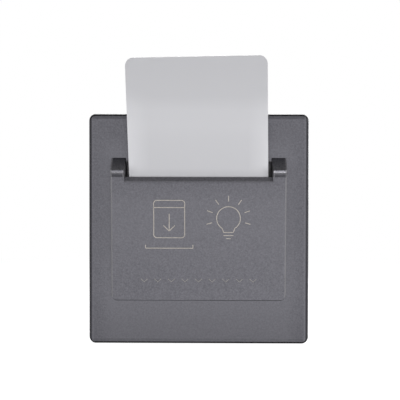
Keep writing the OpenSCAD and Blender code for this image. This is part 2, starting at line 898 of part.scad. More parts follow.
module mechanism_lid() {
    slot_z = pivot[1] - finger_swing * 0.75;
    color(black_plastic)
    difference() {
        union() {
            along_y(seat, lid_back_y) rounded_rect(lid_w, lid_h, lid_corner_r);
            for (x = [-1, 1], z = board_screw_zs)
                translate([x * board_screw_x, 0, z])
                    along_y(lid_back_y - root, board_y - seat)
                        circle(pillar_r);
            lid_ears();
            translate([spring_x - shelf_w / 2, lid_back_y - root, shelf_z])
                cube([shelf_w, shelf_y - lid_back_y + root, shelf_t]);
            translate([spring_x, spring_y, shelf_z - spigot_h])
                cylinder(r = spigot_r, h = spigot_h + root);
        }
        translate([-finger_slot_w / 2, -past, slot_z])
            cube([finger_slot_w, lid_back_y + 2 * past, pivot[1] + finger_swing * 0.75 - slot_z]);
        for (x = [-1, 1], z = [-1, 1])
            translate([x * case_screw_x, 0, z * case_screw_z])
                along_y(-past, lid_back_y + past)
                    circle(case_screw_r + screw_clear);
        for (x = [-1, 1], z = board_screw_zs)
            translate([x * board_screw_x, 0, z])
                along_y(board_y - board_screw_l, board_y)
                    circle(small_r + screw_clear);
    }
}

// The housing's outside: one outline seen from above, one from the side
module housing_block(grow, y0, y1) {
    half_w = housing_w / 2 + grow;
    half_h = housing_h / 2 + grow;
    cut = housing_chamfer;
    intersection() {
        linear_extrude(height = 2 * half_h, center = true)
            polygon([
                [-half_w, y0], [half_w, y0], [half_w, y1 - cut],
                [half_w - cut, y1], [-half_w + cut, y1], [-half_w, y1 - cut]
            ]);
        along_x(-half_w, half_w)
            polygon([
                [y0, -half_h], [y0, half_h], [y1 - cut, half_h],
                [y1, half_h - cut], [y1, -half_h + cut], [y1 - cut, -half_h]
            ]);
    }
}

module mechanism_housing() {
    color(housing_white)
    difference() {
        union() {
            difference() {
                housing_block(0, housing_y, housing_back);
                housing_block(-housing_wall, housing_y - past, housing_in_y);
            }
            intersection() {
                housing_block(0, housing_y, housing_back);
                for (x = [-1, 1], z = [-1, 1])
                    translate([x * case_screw_x, 0, z * case_screw_z])
                        along_y(housing_y, housing_y + case_boss_l) {
                            circle(case_boss_r);
                            translate([min(0, x * case_boss_r * 2), -rib_t / 2])
                                square([case_boss_r * 2, rib_t]);
                            translate([-rib_t / 2, min(0, z * case_boss_r * 2)])
                                square([rib_t, case_boss_r * 2]);
                        }
            }
        }
        for (x = [-1, 1], z = [-1, 1])
            translate([x * case_screw_x, 0, z * case_screw_z])
                along_y(housing_y - past, case_screw_l)
                    circle(case_screw_r + screw_clear);
        for (x = terminal_xs) {
            translate([x, 0, terminal_z])
                along_y(housing_in_y - past, housing_back + past)
                    circle(clamp_head_r + clamp_access);
            translate([x - wire_mouth / 2, wire_y - wire_mouth / 2, -housing_h / 2 - past])
                cube([wire_mouth, wire_mouth, housing_wall + 2 * past]);
        }
    }
}

module mechanism_screws() {
    color(zinc)
    for (x = [-1, 1], z = [-1, 1])
        translate([x * case_screw_x, 0, z * case_screw_z])
            screw(
                -frame_t - seat, case_screw_l + frame_t - seat,
                case_screw_r, small_head_r + small_r / 2, small_head_h, -1
            );
}

module circuit_board() {
    color("#2f6b45")
    difference() {
        along_y(board_y, board_back_y) rounded_rect(board_w, board_h, 1);
        for (x = [-1, 1], z = board_screw_zs)
            translate([x * board_screw_x, 0, z])
                along_y(board_y - past, board_back_y + past)
                    circle(small_r + screw_clear);
        for (i = [0 : 2])
            translate([leg_x(i), 0, leg_z])
                along_y(board_y - past, board_back_y + past)
                    square([leg_w + leg_clear, leg_t + leg_clear], center = true);
    }
}

module board_screws() {
    color(zinc)
    for (x = [-1, 1], z = board_screw_zs)
        translate([x * board_screw_x, 0, z])
            screw(board_back_y + seat, board_screw_l, small_r, small_head_r, small_head_h, 1);
}

module actuator_lever() {
    color("#e8e6df")
    difference() {
        union() {
            along_x(-finger_w / 2, finger_w / 2) arm(pivot, finger_tip, arm_t);
            along_x(-tail_w / 2, tail_w / 2) {
                translate(pivot) circle(hub_r);
                arm(pivot, tail_end, arm_t);
            }
        }
        along_x(-tail_w, tail_w) translate(pivot) circle(pin_r + pin_clear);
    }
}

module lever_pin() {
    color(zinc)
    along_x(-ear_x - ear_t, ear_x + ear_t)
        translate(pivot) circle(pin_r);
}

// One unbroken tube along a helix, six-sided, with eight rings a turn
spring_rings = floor(spring_turns * 8);
spring_sides = 6;
spring_pitch = spring_l / spring_turns;
function spring_point(i, j) =
    let (
        turn = 360 * i / 8,
        side = 360 * j / spring_sides,
        r = spring_r + spring_wire / 2 * cos(side)
    )
    [r * cos(turn), r * sin(turn), spring_pitch * i / 8 + spring_wire / 2 * sin(side)];
spring_self_gap = spring_pitch - spring_wire;
echo(spring_self_gap = spring_self_gap);

module return_spring() {
    ends = [[for (j = [0 : spring_sides - 1]) j],
            [for (j = [spring_sides - 1 : -1 : 0]) spring_rings * spring_sides + j]];
    walls = [
        for (i = [0 : spring_rings - 1], j = [0 : spring_sides - 1], half = [0, 1])
            let (a = i * spring_sides + j, b = i * spring_sides + (j + 1) % spring_sides)
            half == 0 ? [a, a + spring_sides, b] : [b, a + spring_sides, b + spring_sides]
    ];
    color(zinc)
    translate([spring_x, spring_y, spring_z])
        polyhedron(
            points = [for (i = [0 : spring_rings], j = [0 : spring_sides - 1]) spring_point(i, j)],
            faces = concat(
                [for (e = ends, k = [1 : spring_sides - 2]) [e[0], e[k], e[k + 1]]],
                walls
            )
        );
}

// The switch's legs leave its top and bend back through the board
function leg_x(i) = switch_x + leg_inset + leg_w / 2 + i * (switch_l - 2 * leg_inset - leg_w) / 2;
leg_z = switch_z + switch_h + leg_rise - leg_t / 2;

module micro_switch_case() {
    seam = 0.3;
    color(black_plastic)
    difference() {
        union() {
            translate([switch_x, switch_y, switch_z]) cube([switch_l, switch_t * 0.6, switch_h]);
            translate([switch_x + seam, switch_y, switch_z + seam])
                cube([switch_l - 2 * seam, switch_t, switch_h - 2 * seam]);
        }
        translate([button_x, tail_end[0], switch_z - past])
            cylinder(r = button_r + button_clear, h = button_well + past);
    }
}

module micro_switch_button() {
    dome = 0.3;
    color("#b7433a")
    translate([button_x, tail_end[0], button_z]) {
        translate([0, 0, dome]) cylinder(r = button_r, h = button_l - dome);
        cylinder(r1 = button_r - dome, r2 = button_r, h = dome);
    }
}

module micro_switch_pins() {
    leg_y = switch_y + switch_t / 2;
    color(brass)
    for (i = [0 : 2])
        translate([leg_x(i) - leg_w / 2, leg_y - leg_t, switch_z + switch_h + seat]) {
            cube([leg_w, leg_t, leg_rise - seat]);
            translate([0, 0, leg_rise - leg_t - seat])
                cube([leg_w, board_back_y + leg_past - leg_y + leg_t, leg_t]);
        }
}

module relay() {
    foot = 0.4;
    color("#31343a")
    translate([0, board_back_y + seat_legs, relay_z]) {
        along_y(foot, relay_h - foot) rounded_rect(relay_l, relay_w, 0.8);
        along_y(0, relay_h) rounded_rect(relay_l - 2 * foot, relay_w - 2 * foot, 0.6);
    }
}

module dropper_capacitor() {
    color("#c9a227")
    translate([film_x, board_back_y + seat_legs, film_z])
        along_y(0, film_h) rounded_rect(film_l, film_w, 0.8);
}

module smoothing_capacitor() {
    neck = 0.35;
    color("#20242c")
    translate([can_x, board_back_y + seat_legs, can_z])
        rotate([-90, 0, 0]) {
            cylinder(r = can_r, h = can_h * 0.1);
            cylinder(r = can_r - neck, h = can_h);
            translate([0, 0, can_h * 0.16]) cylinder(r = can_r, h = can_h * 0.84);
        }
}

module surge_disc() {
    rise = disc_r + lead_l;
    color("#2d56a0")
    translate([disc_x, board_back_y + seat_legs, disc_z]) {
        translate([-disc_t / 2, rise, 0])
            rotate([0, 90, 0])
                cylinder(r = disc_r, h = disc_t);
        for (z = [-1, 1])
            translate([z * disc_t / 5, 0, z * disc_r / 2])
                along_y(0, rise) circle(lead_r);
    }
}

module bridge_rectifier() {
    color(black_plastic)
    translate([bridge_at[0], board_y - bridge_size[1] - seat_legs, bridge_at[1]])
        along_y(0, bridge_size[1])
            difference() {
                square([bridge_size[0], bridge_size[2]], center = true);
                translate([-bridge_size[0] / 2, 0]) circle(0.6);
            }
}

module control_chip() {
    color(black_plastic)
    translate([chip_at[0], board_y - seat_legs, chip_at[1]]) {
        along_y(-chip_size[1] - chip_leg[1] / 2, -chip_leg[1] / 2)
            square([chip_size[0], chip_size[2]], center = true);
        for (i = [0 : 3], side = [-1, 1])
            translate([(i - 1.5) * chip_leg_pitch, 0, side * (chip_size[2] + chip_leg[2]) / 2])
                along_y(-chip_leg[1], 0)
                    square([chip_leg[0], chip_leg[2] + 2 * root], center = true);
    }
}

module terminal_blocks() {
    color(brass)
    for (x = terminal_xs)
        translate([x, 0, terminal_z])
            difference() {
                union() {
                    along_y(terminal_y, terminal_y + terminal_d)
                        rounded_rect(terminal_w, terminal_h, 0.6);
                    for (z = [-1, 1])
                        translate([0, 0, z * terminal_leg_gap / 2])
                            along_y(board_back_y + seat, terminal_y + root)
                                circle(terminal_leg_r);
                }
                translate([0, wire_y, -terminal_h])
                    cylinder(r = wire_r, h = 2 * terminal_h);
                along_y(wire_y, terminal_y + terminal_d + past)
                    circle(clamp_r + screw_clear);
            }
}

module terminal_screws() {
    color(zinc)
    for (x = terminal_xs)
        translate([x, 0, terminal_z])
            screw(
                terminal_y + terminal_d + clamp_rise,
                terminal_y + terminal_d + clamp_rise - clamp_y,
                clamp_r, clamp_head_r, clamp_head_h, 1
            );
}

front_plate();
card_holder();
card_guide();
guide_screws();
key_card();
mounting_frame();
fixing_screws();
mechanism_lid();
mechanism_housing();
mechanism_screws();
circuit_board();
board_screws();
actuator_lever();
lever_pin();
return_spring();
micro_switch_case();
micro_switch_button();
micro_switch_pins();
relay();
dropper_capacitor();
smoothing_capacitor();
surge_disc();
bridge_rectifier();
control_chip();
terminal_blocks();
terminal_screws();
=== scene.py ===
import math
import bmesh
import bpy
from mathutils import Matrix, Vector


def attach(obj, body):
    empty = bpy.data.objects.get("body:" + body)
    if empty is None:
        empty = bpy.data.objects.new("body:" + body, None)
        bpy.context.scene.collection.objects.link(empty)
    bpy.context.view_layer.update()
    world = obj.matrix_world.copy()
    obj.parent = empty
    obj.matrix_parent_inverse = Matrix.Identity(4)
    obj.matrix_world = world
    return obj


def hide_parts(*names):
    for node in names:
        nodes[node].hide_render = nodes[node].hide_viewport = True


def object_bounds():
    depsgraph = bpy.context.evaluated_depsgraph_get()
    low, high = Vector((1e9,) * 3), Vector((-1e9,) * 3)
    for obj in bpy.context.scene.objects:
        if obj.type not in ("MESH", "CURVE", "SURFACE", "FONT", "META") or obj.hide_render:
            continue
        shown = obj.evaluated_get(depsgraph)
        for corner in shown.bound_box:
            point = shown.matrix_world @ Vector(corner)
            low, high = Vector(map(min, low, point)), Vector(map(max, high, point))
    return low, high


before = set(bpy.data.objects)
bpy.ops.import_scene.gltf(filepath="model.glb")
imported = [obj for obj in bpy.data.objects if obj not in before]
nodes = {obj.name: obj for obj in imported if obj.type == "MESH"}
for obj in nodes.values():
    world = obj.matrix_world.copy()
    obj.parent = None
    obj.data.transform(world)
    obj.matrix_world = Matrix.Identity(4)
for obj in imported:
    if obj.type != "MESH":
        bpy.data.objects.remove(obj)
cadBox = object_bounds()
mm = 0.001
print("loaded", len(nodes), "nodes")


def srgb(r, g, b):
    shares = (c / 255 for c in (r, g, b))
    return tuple(((c + 0.055) / 1.055) ** 2.4 if c > 0.04 else c / 12.92 for c in shares) + (1.0,)


# camera, fitted to the plate's corners and the card's edges; place in mm, angles in degrees
cameraView = {
    "place": (6.169, -420.0, 22.5),
    "yaw": -0.792,
    "pitch": -1.548,
    "roll": 0.095,
    "focalPixels": 1050.5,
    "framePixels": 400,
    "sensor": 36,
    "clipStart": 0.01,
}


def makeCamera(view):
    yaw, pitch, roll = (math.radians(view[k]) for k in ("yaw", "pitch", "roll"))
    ahead = Vector((math.sin(yaw) * math.cos(pitch), math.cos(yaw) * math.cos(pitch), math.sin(pitch)))
    side = Vector((math.cos(yaw), -math.sin(yaw), 0))
    over = Vector((-math.sin(yaw) * math.sin(pitch), -math.cos(yaw) * math.sin(pitch), math.cos(pitch)))
    right = side * math.cos(roll) + over * math.sin(roll)
    up = over * math.cos(roll) - side * math.sin(roll)
    data = bpy.data.cameras.new("photoCamera")
    data.sensor_width = view["sensor"]
    data.lens = view["focalPixels"] / view["framePixels"] * view["sensor"]
    data.clip_start = view["clipStart"]
    cam = bpy.data.objects.new("photoCamera", data)
    bpy.context.collection.objects.link(cam)
    turn = Matrix((right, up, -ahead)).transposed().to_4x4()
    cam.matrix_world = Matrix.Translation(Vector(view["place"]) * mm) @ turn
    bpy.context.scene.camera = cam


makeCamera(cameraView)
print("camera set")


# building blocks for node trees
def feed(tree, sockets, terms):
    # a number is set on its socket, anything else is linked to it
    for socket, term in zip(sockets, terms):
        if isinstance(term, (int, float)):
            socket.default_value = term
        else:
            tree.links.new(term, socket)


def calc(tree, operation, *terms):
    node = tree.nodes.new("ShaderNodeMath")
    node.operation = operation
    feed(tree, node.inputs, terms)
    return node.outputs[0]


def ranged(tree, fac, low, high, start=0.0, end=1.0, smooth=False):
    node = tree.nodes.new("ShaderNodeMapRange")
    if smooth:
        node.interpolation_type = "SMOOTHSTEP"
    ends = {"From Min": start, "From Max": end, "To Min": low, "To Max": high}
    for socket, value in ends.items():
        node.inputs[socket].default_value = value
    tree.links.new(fac, node.inputs["Value"])
    return node.outputs["Result"]


def joinXyz(tree, x, y, z):
    node = tree.nodes.new("ShaderNodeCombineXYZ")
    feed(tree, node.inputs, (x, y, z))
    return node.outputs[0]


def splitXyz(tree, vector):
    node = tree.nodes.new("ShaderNodeSeparateXYZ")
    tree.links.new(vector, node.inputs[0])
    return node.outputs


def mixShaders(tree, fac, first, second):
    node = tree.nodes.new("ShaderNodeMixShader")
    feed(tree, node.inputs, (fac, first, second))
    return node.outputs[0]


def newFinish(name, sockets):
    mat = bpy.data.materials.new(name)
    mat.use_nodes = True
    shader = mat.node_tree.nodes["Principled BSDF"]
    for socket, value in sockets.items():
        shader.inputs[socket].default_value = value
    return mat, mat.node_tree, shader


# studio: soft lamps, a dome that is bright in front, and a pale floor; lengths in metres
studio = {
    "domeAim": (0.30, -0.95, -0.14),
    "domeFront": 1.07,
    "domeBack": 0.14,
    "whiteBehind": 0.97,
    "floorTone": srgb(240, 240, 240),
    "floorReach": 1.6,
    "floorSides": 96,
    "floorGap": 0.2 * mm,
    "floorFade": (0.06, 0.40),
    "floorGlow": (0.90, 1.0),
    "lamps": {
        "lowLamp": {"at": (0.50, -1.1, -0.98), "size": (1.3, 0.25), "watts": 5.0},
        "leftLamp": {"at": (-1.3, -0.75, -0.1), "size": (0.5, 0.9), "watts": 5.0},
        "rightLamp": {"at": (1.3, -0.75, -0.1), "size": (0.5, 0.9), "watts": 5.0},
        "backLamp": {"at": (0.45, 1.5, 0.55), "size": (1.4, 1.2), "watts": 18.0},
    },
}


def makeWorld(spec):
    world = bpy.data.worlds.new("studioWorld")
    bpy.context.scene.world = world
    world.use_nodes = True
    tree = world.node_tree
    tree.nodes.clear()
    way = tree.nodes.new("ShaderNodeTexCoord").outputs["Generated"]
    aim = tree.nodes.new("ShaderNodeVectorMath")
    aim.operation = "DOT_PRODUCT"
    aim.inputs[1].default_value = Vector(spec["domeAim"]).normalized()
    tree.links.new(way, aim.inputs[0])
    dome = tree.nodes.new("ShaderNodeBackground")
    falloff = ranged(tree, aim.outputs["Value"], spec["domeBack"], spec["domeFront"], smooth=True)
    tree.links.new(falloff, dome.inputs["Strength"])
    white = tree.nodes.new("ShaderNodeBackground")
    white.inputs["Color"].default_value = (1, 1, 1, 1)
    white.inputs["Strength"].default_value = 1.0
    # what lies behind the object is white to the camera, to gloss and through clear plastic
    path = tree.nodes.new("ShaderNodeLightPath").outputs
    shiny = calc(tree, "MAXIMUM", path["Is Glossy Ray"], path["Is Transmission Ray"])
    behind = ranged(tree, splitXyz(tree, way)["Y"], 0.0, 1.0, spec["whiteBehind"], 1.0)
    seen = calc(tree, "MAXIMUM", path["Is Camera Ray"], calc(tree, "MULTIPLY", shiny, behind))
    out = tree.nodes.new("ShaderNodeOutputWorld")
    tree.links.new(mixShaders(tree, seen, dome.outputs[0], white.outputs[0]), out.inputs["Surface"])


def makeLamps(spec):
    for name, lamp in spec["lamps"].items():
        data = bpy.data.lights.new(name, "AREA")
        data.shape = "RECTANGLE"
        data.size, data.size_y = lamp["size"]
        data.energy = lamp["watts"]
        obj = bpy.data.objects.new(name, data)
        bpy.context.collection.objects.link(obj)
        obj.location = lamp["at"]
        obj.rotation_euler = (-Vector(lamp["at"])).to_track_quat("-Z", "Y").to_euler()


def paleFloor(spec):
    sockets = {"Base Color": spec["floorTone"], "Roughness": 0.9, "Specular IOR Level": 0.1}
    mat, tree, shader = newFinish("paleFloor", sockets)
    path = tree.nodes.new("ShaderNodeLightPath").outputs
    coords = tree.nodes.new("ShaderNodeTexCoord")
    far = tree.nodes.new("ShaderNodeVectorMath")
    far.operation = "LENGTH"
    tree.links.new(coords.outputs["Object"], far.inputs[0])

    def cameraFade(low, high):
        fade = ranged(tree, far.outputs["Value"], low, high, *spec["floorFade"], smooth=True)
        return calc(tree, "MULTIPLY", path["Is Camera Ray"], fade)

    # the shadow stays close to the object, and the floor fades to the background
    glow = tree.nodes.new("ShaderNodeEmission")
    tree.links.new(cameraFade(*spec["floorGlow"]), glow.inputs["Strength"])
    lit = tree.nodes.new("ShaderNodeAddShader")
    feed(tree, lit.inputs, (shader.outputs[0], glow.outputs[0]))
    # gloss, clear plastic and the low lamps look through the floor
    shiny = calc(tree, "MAXIMUM", path["Is Glossy Ray"], path["Is Transmission Ray"])
    through = calc(tree, "MAXIMUM", shiny, path["Is Shadow Ray"])
    clear = tree.nodes.new("ShaderNodeBsdfTransparent")
    near = mixShaders(tree, through, lit.outputs[0], clear.outputs[0])
    # far away the camera sees the background's own white
    backdrop = tree.nodes.new("ShaderNodeEmission")
    whole = mixShaders(tree, cameraFade(0.0, 1.0), near, backdrop.outputs[0])
    tree.links.new(whole, tree.nodes["Material Output"].inputs["Surface"])
    return mat


def makeFloor(spec):
    reach, sides = spec["floorReach"], spec["floorSides"]
    level = cadBox[0][2] - spec["floorGap"]
    turns = (math.tau * i / sides for i in range(sides))
    rim = [(reach * math.cos(a), reach * math.sin(a), level) for a in turns]
    mesh = bpy.data.meshes.new("floor")
    mesh.from_pydata(rim, [], [tuple(range(sides))])
    mesh.materials.append(paleFloor(spec))
    floor = bpy.data.objects.new("floor", mesh)
    bpy.context.collection.objects.link(floor)


bpy.context.scene.view_settings.view_transform = "Standard"
makeWorld(studio)
makeLamps(studio)
makeFloor(studio)
print("studio set")


# building blocks for the finishes; every pattern reads Object coordinates
plainReach = (0.3, 0.7)  # where most of a noise pattern lies


def grain(tree, scale, detail=3.0, stretch=(1, 1, 1)):
    coords = tree.nodes.new("ShaderNodeTexCoord")
    place = tree.nodes.new("ShaderNodeMapping")
    place.inputs["Scale"].default_value = stretch
    noise = tree.nodes.new("ShaderNodeTexNoise")
    noise.inputs["Scale"].default_value = scale
    noise.inputs["Detail"].default_value = detail
    tree.links.new(coords.outputs["Object"], place.inputs["Vector"])
    tree.links.new(place.outputs["Vector"], noise.inputs["Vector"])
    return noise.outputs["Fac"]


def flakes(tree, scale):
    coords = tree.nodes.new("ShaderNodeTexCoord")
    cells = tree.nodes.new("ShaderNodeTexVoronoi")
    cells.inputs["Scale"].default_value = scale
    split = tree.nodes.new("ShaderNodeSeparateColor")
    tree.links.new(coords.outputs["Object"], cells.inputs["Vector"])
    tree.links.new(cells.outputs["Color"], split.inputs["Color"])
    return split.outputs["Red"]


def along(tree, axis):
    return splitXyz(tree, tree.nodes.new("ShaderNodeTexCoord").outputs["Object"])[axis]


def tones(tree, fac, *stops):
    ramp = tree.nodes.new("ShaderNodeValToRGB")
    band = ramp.color_ramp
    while len(band.elements) < len(stops):
        band.elements.new(0.5)
    for element, (place, colour) in zip(band.elements, stops):
        element.position = place
        element.color = colour
    tree.links.new(fac, ramp.inputs["Fac"])
    return ramp.outputs["Color"]


def blendTones(tree, fac, first, second):
    mix = tree.nodes.new("ShaderNodeMix")
    mix.data_type = "RGBA"
    feed(tree, [mix.inputs[i] for i in (0, 6, 7)], (fac, first, second))  # factor and the two colours
    return mix.outputs[2]


def relief(tree, shader, fac, strength, depth):
    bump = tree.nodes.new("ShaderNodeBump")
    bump.inputs["Strength"].default_value = strength
    bump.inputs["Distance"].default_value = depth * mm
    tree.links.new(fac, bump.inputs["Height"])
    tree.links.new(bump.outputs["Normal"], shader.inputs["Normal"])


shoulderFacing = {"Y": -0.6015, "Z": 0.7989}  # direction that the shoulders' slopes face


def bandPlace(tree, axis):
    if axis == "side":  # distance from the middle
        return calc(tree, "ABSOLUTE", along(tree, "X"))
    if axis == "rise":  # square to the shoulders' slopes
        parts = [calc(tree, "MULTIPLY", along(tree, k), share) for k, share in shoulderFacing.items()]
        return calc(tree, "ADD", *parts)
    return along(tree, axis)


def bandMask(tree, steps, amount):
    # product of ramps, each between two places on an axis
    mask = None
    for axis, start, end in steps:
        high = amount if mask is None else 1.0
        ramp = ranged(tree, bandPlace(tree, axis), 0.0, high, start * mm, end * mm)
        mask = ramp if mask is None else calc(tree, "MULTIPLY", mask, ramp)
    return mask


# metallic paint of plate and holder: flakes, and a skin of fine orange peel
paint = {
    "dark": srgb(100, 100, 106),
    "pale": srgb(127, 126, 133),
    "metal": 0.88,
    "bareMetal": 0.15,
    "rough": (0.31, 0.39),
    "flakeScale": 2600,
    "cloudScale": 1400,
    "peelScale": 3500,
    "peelStrength": 0.12,
    "peelDepth": 0.03,
}


def metallicPaint(name, bands):
    mat, tree, shader = newFinish(name, {"Metallic": paint["metal"], "IOR": 1.5})
    cloud = grain(tree, paint["cloudScale"], 4)
    flake = ranged(tree, flakes(tree, paint["flakeScale"]), 0.0, 0.5)
    fleck = calc(tree, "ADD", flake, ranged(tree, cloud, 0.0, 0.5, *plainReach))

    def flecked(pair):
        return tones(tree, fleck, (0.0, pair["dark"]), (1.0, pair["pale"]))

    tone = flecked(paint)
    bare = None
    # each band blends in a tone of painted shade or painted highlight
    for band in bands.values():
        mask = bandMask(tree, band["where"], band["amount"])
        tone = blendTones(tree, mask, tone, flecked(band))
        if band.get("bare"):
            bare = mask if bare is None else calc(tree, "MAXIMUM", bare, mask)
    tree.links.new(tone, shader.inputs["Base Color"])
    tree.links.new(ranged(tree, bare, paint["metal"], paint["bareMetal"]), shader.inputs["Metallic"])
    tree.links.new(ranged(tree, cloud, *paint["rough"]), shader.inputs["Roughness"])
    relief(tree, shader, grain(tree, paint["peelScale"], 2), paint["peelStrength"], paint["peelDepth"])
    return mat


# places where the paint has painted shade or painted highlights, and where it is bare and less metallic;
# sizes in mm
# the two darker tone pairs are painted shade, the two paler ones painted highlight
shade = {"dark": srgb(66, 66, 70), "pale": srgb(76, 75, 80)}
sheen = {"dark": srgb(115, 115, 121), "pale": srgb(132, 131, 138)}
paintedHighlight = {"dark": srgb(140, 139, 143), "pale": srgb(166, 165, 170)}
gloom = {"dark": srgb(36, 36, 38), "pale": srgb(44, 44, 47)}
plateBands = {
    # painted highlight: the plate is paler beside the holder's walls
    "nearHolder": {"where": (("side", 39.5, 34.0), ("Z", 38, 30)), "amount": 0.85, **sheen},
    # painted shade: the plate darkens towards its bottom
    "lowerEnd": {"where": (("Z", -24, -44),), "amount": 0.34, **shade},
    # painted shade on the top and bottom bevels
    "topBevel": {"where": (("Z", 42.8, 43.2),), "amount": 0.5, **shade},
    "lowBevel": {"where": (("Z", -42.8, -43.2),), "amount": 0.4, **shade},
    # painted highlight along the side bevels
    "sideBevel": {"where": (("side", 41.0, 41.3),), "amount": 0.5, **sheen},
    # painted shade: a dark line round the steep outer edge
    "sideEdge": {"where": (("side", 41.7, 41.8),), "amount": 0.8, **shade},
    "steepEdge": {"where": (("Y", -9.88, -9.6),), "amount": 1.0, **shade},
    # painted highlight on the outermost side edge, which is also less metallic
    "sideRim": {"where": (("side", 42.35, 42.5),), "amount": 0.7, "bare": True, **sheen},
    # painted shade along the bottom edge
    "lowEdge": {"where": (("Z", -44.0, -44.2),), "amount": 0.8, **gloom},
    # painted light: the plate's tongue in the slot is paler to lift its shade, and less metallic
    "tongue": {
        "where": (("side", 29.2, 29.0), ("Z", 27.0, 26.6), ("Z", 15, 20)), "amount": 1.0, "bare": True,
        **paintedHighlight,
    },
    "rimSide": {
        "where": (("Y", -8.4, -8.1),), "amount": 1.0, "bare": True,
        "dark": srgb(106, 106, 112), "pale": srgb(121, 120, 127),
    },
}
cheek = (("side", 28.98, 28.9), ("rise", 28.15, 28.05))
holderBands = {
    # painted highlight: a soft sheen on the panel's upper middle
    "panel": {"where": (("Z", 19, 10), ("Z", -22, 0)), "amount": 0.72, **sheen},
    # painted highlight: the shoulders' slopes grow paler towards the nose
    "slope": {
        "where": (("Z", 27.6, 23.1), ("Z", 23.0, 23.1)), "amount": 0.8,
        "dark": srgb(126, 125, 129), "pale": srgb(196, 195, 200),
    },
    # painted shade along the top of the nose
    "noseTop": {"where": (("Z", 22.7, 23.0), ("Z", 23.5, 23.2)), "amount": 0.7, **shade},
    # painted highlight on the lower face of the nose
    "noseUnder": {"where": (("Z", 21.4, 21.8), ("Z", 22.6, 22.3)), "amount": 0.65, **paintedHighlight},
    # painted shade in the undercut below the nose
    "undercut": {"where": (("Z", 21.4, 21.0), ("Z", 20.2, 20.5)), "amount": 0.45, **shade},
    # painted highlight on the lip's chamfer
    "lipChamfer": {
        "where": (("side", 29.0, 28.9), ("Z", 18.3, 18.6), ("Z", 20.5, 20.4)), "amount": 0.2, **paintedHighlight,
    },
    # painted highlight on the cheeks' front edges
    "cheekEdge": {
        "where": (("side", 29.5, 29.3), ("Z", 20.2, 20.4), ("Z", 22.8, 22.6)), "amount": 0.6, **paintedHighlight,
    },
    # painted light: the inner cheek walls are paler to lift their shade, and less metallic
    "innerCheek": {
        "where": (*cheek, ("Z", 20.4, 20.6)), "amount": 1.0, "bare": True,
        "dark": srgb(88, 88, 91), "pale": srgb(98, 98, 102),
    },
    # painted shade on the upper inner cheeks
    "upperCheek": {"where": (*cheek, ("Z", 23.2, 24.2)), "amount": 0.8, **shade},
    # painted light deep in the cheeks, lifting their shade
    "deepCheek": {"where": (*cheek, ("Z", 20.4, 20.6), ("Y", -13.2, -12.6)), "amount": 1.0, **paintedHighlight},
    # painted highlight along the holder's outer side edges, which are also less metallic
    "outerEdge": {
        "where": (("side", 33.4, 33.65),), "amount": 1.0, "bare": True,
        "dark": srgb(116, 115, 119), "pale": srgb(126, 125, 129),
    },
}

# plain plastics: two tones, roughness, and the scale and strength of the moulded texture
plastics = {
    "guide": ("greyGuidePlastic", srgb(122, 121, 125), srgb(133, 132, 136), 0.5, 2500, 0.1),
    "lid": ("darkLidPlastic", srgb(44, 44, 46), srgb(54, 54, 57), 0.5, 2500, 0.1),
    "housing": ("paleHousingPlastic", srgb(219, 217, 210), srgb(225, 223, 216), 0.42, 1800, 0.12),
    "lever": ("ivoryLeverPlastic", srgb(220, 216, 204), srgb(230, 227, 217), 0.38, 2500, 0.1),
    "switch": ("switchCasePlastic", srgb(30, 30, 33), srgb(40, 40, 44), 0.4, 2500, 0.1),
    "button": ("redButtonPlastic", srgb(160, 44, 38), srgb(186, 58, 48), 0.35, 2500, 0.1),
    "relay": ("relayCover", srgb(44, 48, 56), srgb(56, 60, 69), 0.3, 2500, 0.1),
    "film": ("filmCapacitorCase", srgb(190, 148, 30), srgb(210, 170, 48), 0.35, 2500, 0.1),
    "disc": ("discLacquer", srgb(34, 70, 140), srgb(48, 90, 168), 0.22, 900, 0.2),
    "epoxy": ("blackEpoxy", srgb(24, 24, 26), srgb(36, 36, 38), 0.55, 2500, 0.1),
}
plasticSkin = {"cloudScale": 60, "cloudReach": (0.35, 0.65), "hazeShare": 0.4, "haze": 0.06, "depth": 0.04}


def mouldedPlastic(name, dark, pale, rough, texture, strength):
    mat, tree, shader = newFinish(name, {"IOR": 1.5})
    cloud = grain(tree, plasticSkin["cloudScale"], 4)
    tone = tones(tree, cloud, *zip(plasticSkin["cloudReach"], (dark, pale)))
    tree.links.new(tone, shader.inputs["Base Color"])
    patches = grain(tree, texture * plasticSkin["hazeShare"], 3)
    haze = ranged(tree, patches, rough - plasticSkin["haze"], rough + plasticSkin["haze"])
    tree.links.new(haze, shader.inputs["Roughness"])
    relief(tree, shader, grain(tree, texture, 3), strength, plasticSkin["depth"])
    return mat


# bare metals: two tones, roughness, and how the drawing marks are stretched
metals = {
    "zinc": ("zincSteel", srgb(150, 152, 156), srgb(196, 198, 202), 0.36, (1, 1, 6)),
    "pin": ("drawnSteel", srgb(160, 161, 164), srgb(205, 206, 208), 0.26, (0.2, 4, 4)),
    "brass": ("nickelBrass", srgb(176, 150, 92), srgb(212, 188, 128), 0.3, (2, 1, 1)),
}
metalSkin = {"markScale": 500, "haze": 0.1, "strength": 0.08, "depth": 0.03}


def bareMetal(name, dark, pale, rough, stretch):
    mat, tree, shader = newFinish(name, {"Metallic": 1.0})
    brushed = grain(tree, metalSkin["markScale"], 5, stretch)
    tree.links.new(tones(tree, brushed, *zip(plainReach, (dark, pale))), shader.inputs["Base Color"])
    haze = ranged(tree, brushed, rough - metalSkin["haze"], rough + metalSkin["haze"])
    tree.links.new(haze, shader.inputs["Roughness"])
    relief(tree, shader, brushed, metalSkin["strength"], metalSkin["depth"])
    return mat


